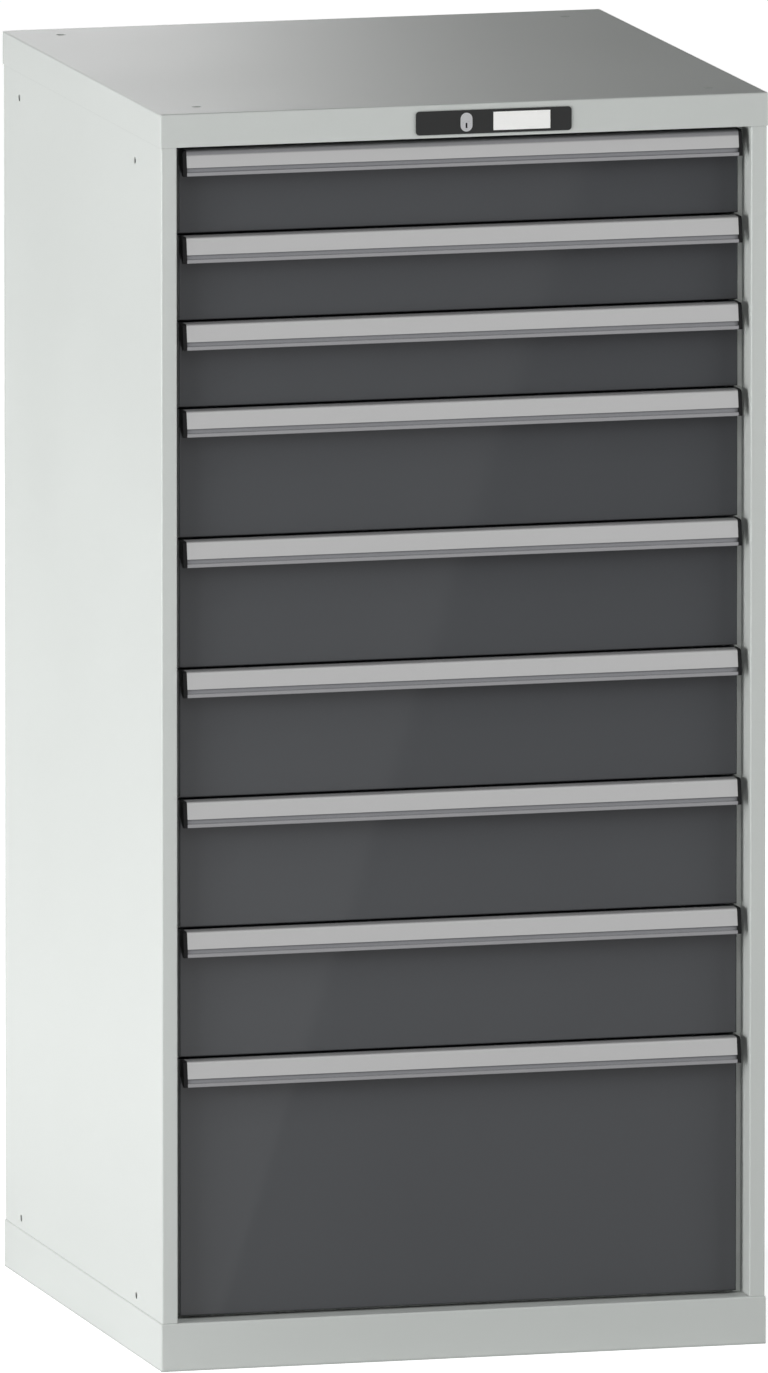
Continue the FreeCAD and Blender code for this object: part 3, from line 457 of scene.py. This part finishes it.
cap_plastic = moulded_plastic("black_moulded_abs", "0C0C0D", 0.6, gloss_share=0.15)
plate_plastic = moulded_plastic("dark_moulded_abs", "181919", 0.55, gloss_share=0.3)
card_board = moulded_plastic("white_card", "FCFCFA", 0.8)
plug_plastic = moulded_plastic("grey_moulded_polyethylene", "C2C7C3", 0.5)
roller_plastic = moulded_plastic("black_moulded_polyamide", "202123", 0.45)
# The keyway's walls: black, a painted shade of the deep slot.
keyway_painted_shade = moulded_plastic("keyway_walls_painted_shade_black", "0C0C0D", 0.6)
print("mouldings:", cap_plastic.name, plate_plastic.name, plug_plastic.name, roller_plastic.name)

# %% [markdown]
# Runners, rails and the lock's works are steel with a bright zinc plating. Zinc settles in
# patches that differ a little in gloss, so the roughness changes over about 12 mm. The lock's
# collar and plug are chrome plated: nearly a mirror, with only a slight haze.

# %% Plated steel
PATCH_WIDTH = 12 * MM


def plated_steel(name, tint, smooth, rough):
    """A plated metal whose gloss changes from patch to patch."""
    made, tree = empty_material(name)
    place = node(tree, "TexCoord").outputs["Object"]
    patches = node(tree, "TexVoronoi", {"Vector": place, "Scale": 1 / PATCH_WIDTH},
                   feature="SMOOTH_F1")
    gloss = node(tree, "MapRange", {
        "Value": patches.outputs["Distance"], "To Min": smooth, "To Max": rough})
    surface = node(tree, "BsdfPrincipled", {
        "Base Color": colour(tint),
        "Metallic": 1.0,
        "Roughness": gloss.outputs["Result"],
    })
    node(tree, "OutputMaterial", {"Surface": surface.outputs[0]})
    return made


zinc_plate = plated_steel("zinc_plated_steel", "B4B8BC", 0.28, 0.45)
chrome_plate = plated_steel("chrome_plated_steel", "E4E5E7", 0.05, 0.12)
print("plated:", zinc_plate.name, chrome_plate.name)

# %% [markdown]
# Each piece of the cabinet names the finish that it was sold with. The table turns those names
# into the materials above, and the loop lays them on. Three pieces then get their own shade of
# it: the lock's plate a dark moulding of its own, the uprights a paler coat that is painted light,
# and the uppermost handle a painted shadow of the fascia.

# %% Lay the finishes on
FINISHES = {
    "housing_paint": housing_paint,
    "front_paint": front_paint,
    "handle_aluminium": handle_aluminium,
    "black_plastic": cap_plastic,
    "zinc_steel": zinc_plate,
    "lock_chrome": chrome_plate,
    "card_white": card_board,
}
for subpart in frame["record"]["subparts"]:
    mesh = pieces[subpart["node"]].data
    mesh.materials.clear()
    mesh.materials.append(FINISHES[subpart["material_slot"]])
pieces["lock_plate"].data.materials[0] = plate_plastic
# The uprights get the paler coat, which is painted light.
pieces["uprights"].data.materials[0] = uprights_coat_painted_lighter
# The uppermost handle gets the copy with the painted fascia shadow.
pieces["drawer_1_handle"].data.materials[0] = fascia_shadow_painted_aluminium

# %% [markdown]
# Some pieces are made of several solids with finishes of their own: a drawer's tray is painted
# while its runner channels are plated, and the carriages run on black rollers. Faces that share
# a corner belong to one solid, so the next function gathers them, and each solid's size tells
# what it is. On a handle, single faces get the darker tones of the groove's back and of the lip
# below it, a painted shade. In the lock's core, the walls of the keyway are painted black, a
# painted shade of the deep slot.

# %% Finishes of single solids
ROLLER_SIZE = 31 * MM
FITTING_WIDTH = 60 * MM
GROOVE_DEPTH = 3 * MM
GROOVE_HEIGHT = 8 * MM
LIP_HEIGHT = 4 * MM
KEYWAY_DEPTH = 8.5 * MM
KEYWAY_HALF_WIDTH = 2.0 * MM
TOLERANCE = 0.1 * MM


def solids_of(mesh):
    """Groups of face numbers, one for each separate solid of the mesh."""
    owner = {}

    def root(key):
        while owner.setdefault(key, key) != key:
            owner[key] = owner[owner[key]]
            key = owner[key]
        return key

    keys = [tuple(round(c, 6) for c in vertex.co) for vertex in mesh.vertices]
    for face in mesh.polygons:
        first = root(keys[face.vertices[0]])
        for corner in face.vertices[1:]:
            owner[root(keys[corner])] = first
    groups = {}
    for face in mesh.polygons:
        groups.setdefault(root(keys[face.vertices[0]]), []).append(face.index)
    return list(groups.values())


def refinish(piece, finish, chosen):
    """Gives another finish to the solids of a piece whose size (x, y, z) is chosen."""
    mesh = pieces[piece].data
    mesh.materials.append(finish)
    changed = 0
    for faces in solids_of(mesh):
        corners = [mesh.vertices[v].co for f in faces for v in mesh.polygons[f].vertices]
        size = [max(c[i] for c in corners) - min(c[i] for c in corners) for i in range(3)]
        if chosen(size):
            changed += 1
            for face in faces:
                mesh.polygons[face].material_index = len(mesh.materials) - 1
    return changed


rollers = fittings = 0
for drawer in drawers:
    carriage = drawer.replace("drawer", "carriage")
    rollers += refinish(carriage, roller_plastic, lambda size: size[1] < ROLLER_SIZE)
    fittings += refinish(drawer + "_tray", zinc_plate, lambda size: size[0] < FITTING_WIDTH)
print(rollers, "rollers and", fittings, "tray fittings")


def refinish_faces(piece, finish, chosen):
    """Gives another finish to single faces, chosen by their centre."""
    mesh = pieces[piece].data
    mesh.materials.append(finish)
    found = [face for face in mesh.polygons if chosen(face.center)]
    for face in found:
        face.material_index = len(mesh.materials) - 1
    return len(found)


# Each handle's groove back and lip get their painted shade tones.
for drawer in drawers:
    low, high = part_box(drawer + "_handle")
    groove, lip_top = low[1] + GROOVE_DEPTH, low[2] + LIP_HEIGHT
    refinish_faces(drawer + "_handle", groove_shade_painted_aluminium,
                   lambda centre: abs(centre.y - groove) < TOLERANCE
                   and lip_top < centre.z < lip_top + GROOVE_HEIGHT)
    refinish_faces(drawer + "_handle", lip_shade_painted_aluminium,
                   lambda centre: centre.z < lip_top and centre.y < groove - TOLERANCE)
low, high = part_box("lock_core")
core_middle = (low[0] + high[0]) / 2
# The keyway's walls get the black painted shade.
keyway_faces = refinish_faces("lock_core", keyway_painted_shade,
                              lambda centre: abs(centre.x - core_middle) < KEYWAY_HALF_WIDTH
                              and low[1] + TOLERANCE < centre.y < low[1] + KEYWAY_DEPTH)
print("keyway faces", keyway_faces)

# %% [markdown]
# Small fastenings are turned or headed round pieces. One outline, written as pairs of radius and
# height from the middle of the head to the middle of the foot, is turned about an axis at each
# place. A third number makes that ring wavy, which draws the six-lobed socket of a screw. The
# plugs close the cover's four holes, the rivets hold the back panel, and the screws hold each
# front to its tray. All sizes of this cell are in millimetres.

# %% Turned pieces
TURN_STEPS = 36
SOCKET_LOBES = 6
SHARP_ANGLE = math.radians(35)


def turned(name, outline, spots, axis, finish, body):
    """Adds one object with the outline turned at each spot, riding on a body."""
    tilt = Vector(axis).to_track_quat("Z", "Y").to_matrix()
    points, faces = [], []
    for spot in spots:
        rings = []
        for radius, height, *wave in outline:
            count = TURN_STEPS if radius else 1
            rings.append((len(points), count))
            for step in range(count):
                angle = 2 * math.pi * step / TURN_STEPS
                lobe = wave[0] * math.cos(SOCKET_LOBES * angle) if wave else 0
                reach = radius * (1 + lobe)
                local = Vector((reach * math.cos(angle), reach * math.sin(angle), height))
                points.append((Vector(spot) + tilt @ local) * MM)
        for (first, count), (next_first, next_count) in zip(rings, rings[1:]):
            for step in range(TURN_STEPS):
                after = (step + 1) % TURN_STEPS
                corners = [first + step % count, next_first + step % next_count,
                           next_first + after % next_count, first + after % count]
                faces.append(list(dict.fromkeys(corners)))
    mesh = bpy.data.meshes.new(name)
    mesh.from_pydata(points, [], faces)
    shell = bmesh.new()
    shell.from_mesh(mesh)
    bmesh.ops.recalc_face_normals(shell, faces=shell.faces)
    shell.to_mesh(mesh)
    shell.free()
    mesh.materials.append(finish)
    mesh.shade_smooth()
    mesh.set_sharp_from_angle(angle=SHARP_ANGLE)
    made = bpy.data.objects.new(name, mesh)
    bpy.context.scene.collection.objects.link(made)
    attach(made, body)


COVER_PLUG = [(0, -1.0), (3.6, -1.0), (4.7, -0.45), (5.0, -0.05), (5.9, -0.05), (5.9, -1.25),
              (6.35, -2.0), (6.2, -2.6), (5.2, -4.2), (4.4, -4.2), (4.4, -2.2), (0, -2.2)]
BLIND_RIVET = [(0, 0.4), (0.9, 0.4), (1.1, 0.95), (1.9, 0.95), (2.9, 0.6), (3.3, 0.03), (0, 0.03)]
PAN_SCREW = [(0, 1.0), (1.5, 1.0, 0.14), (1.9, 2.35, 0.14), (2.4, 2.5), (3.3, 2.2), (4.0, 1.4),
             (4.25, 0.05), (0, 0.05)]
PLUG_X, PLUG_Y, COVER_TOP = 302, 309.5, 1450
RIVET_X, REAR_FACE = 343.8, 361.3
RIVET_FOOT, RIVET_SPACING, RIVET_ROWS = 100, 208, 7
SCREW_PLACES = (-280, -95, 95, 280)
SCREW_ABOVE_FOOT, SCREW_BELOW_TOP = 24, 33.6
TRAY_WALL_INSIDE = -334.0
UPWARDS, REARWARDS = (0, 0, 1), (0, 1, 0)

plug_spots = [(x, y, COVER_TOP) for x in (-PLUG_X, PLUG_X) for y in (-PLUG_Y, PLUG_Y)]
turned("cover_plugs", COVER_PLUG, plug_spots, UPWARDS, plug_plastic, "cabinet")
rivet_spots = [(x, REAR_FACE, RIVET_FOOT + RIVET_SPACING * row)
               for x in (-RIVET_X, RIVET_X) for row in range(RIVET_ROWS)]
turned("rear_rivets", BLIND_RIVET, rivet_spots, REARWARDS, zinc_plate, "cabinet")
for drawer in drawers:
    low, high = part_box(drawer + "_front")
    rows = [low[2] / MM + SCREW_ABOVE_FOOT, high[2] / MM - SCREW_BELOW_TOP]
    screw_spots = [(x, TRAY_WALL_INSIDE, z) for x in SCREW_PLACES for z in rows]
    turned(drawer + "_front_screws", PAN_SCREW, screw_spots, REARWARDS, zinc_plate, drawer)
print("turned", len(plug_spots), "plugs,", len(rivet_spots), "rivets and",
      len(drawers) * len(screw_spots), "screws")
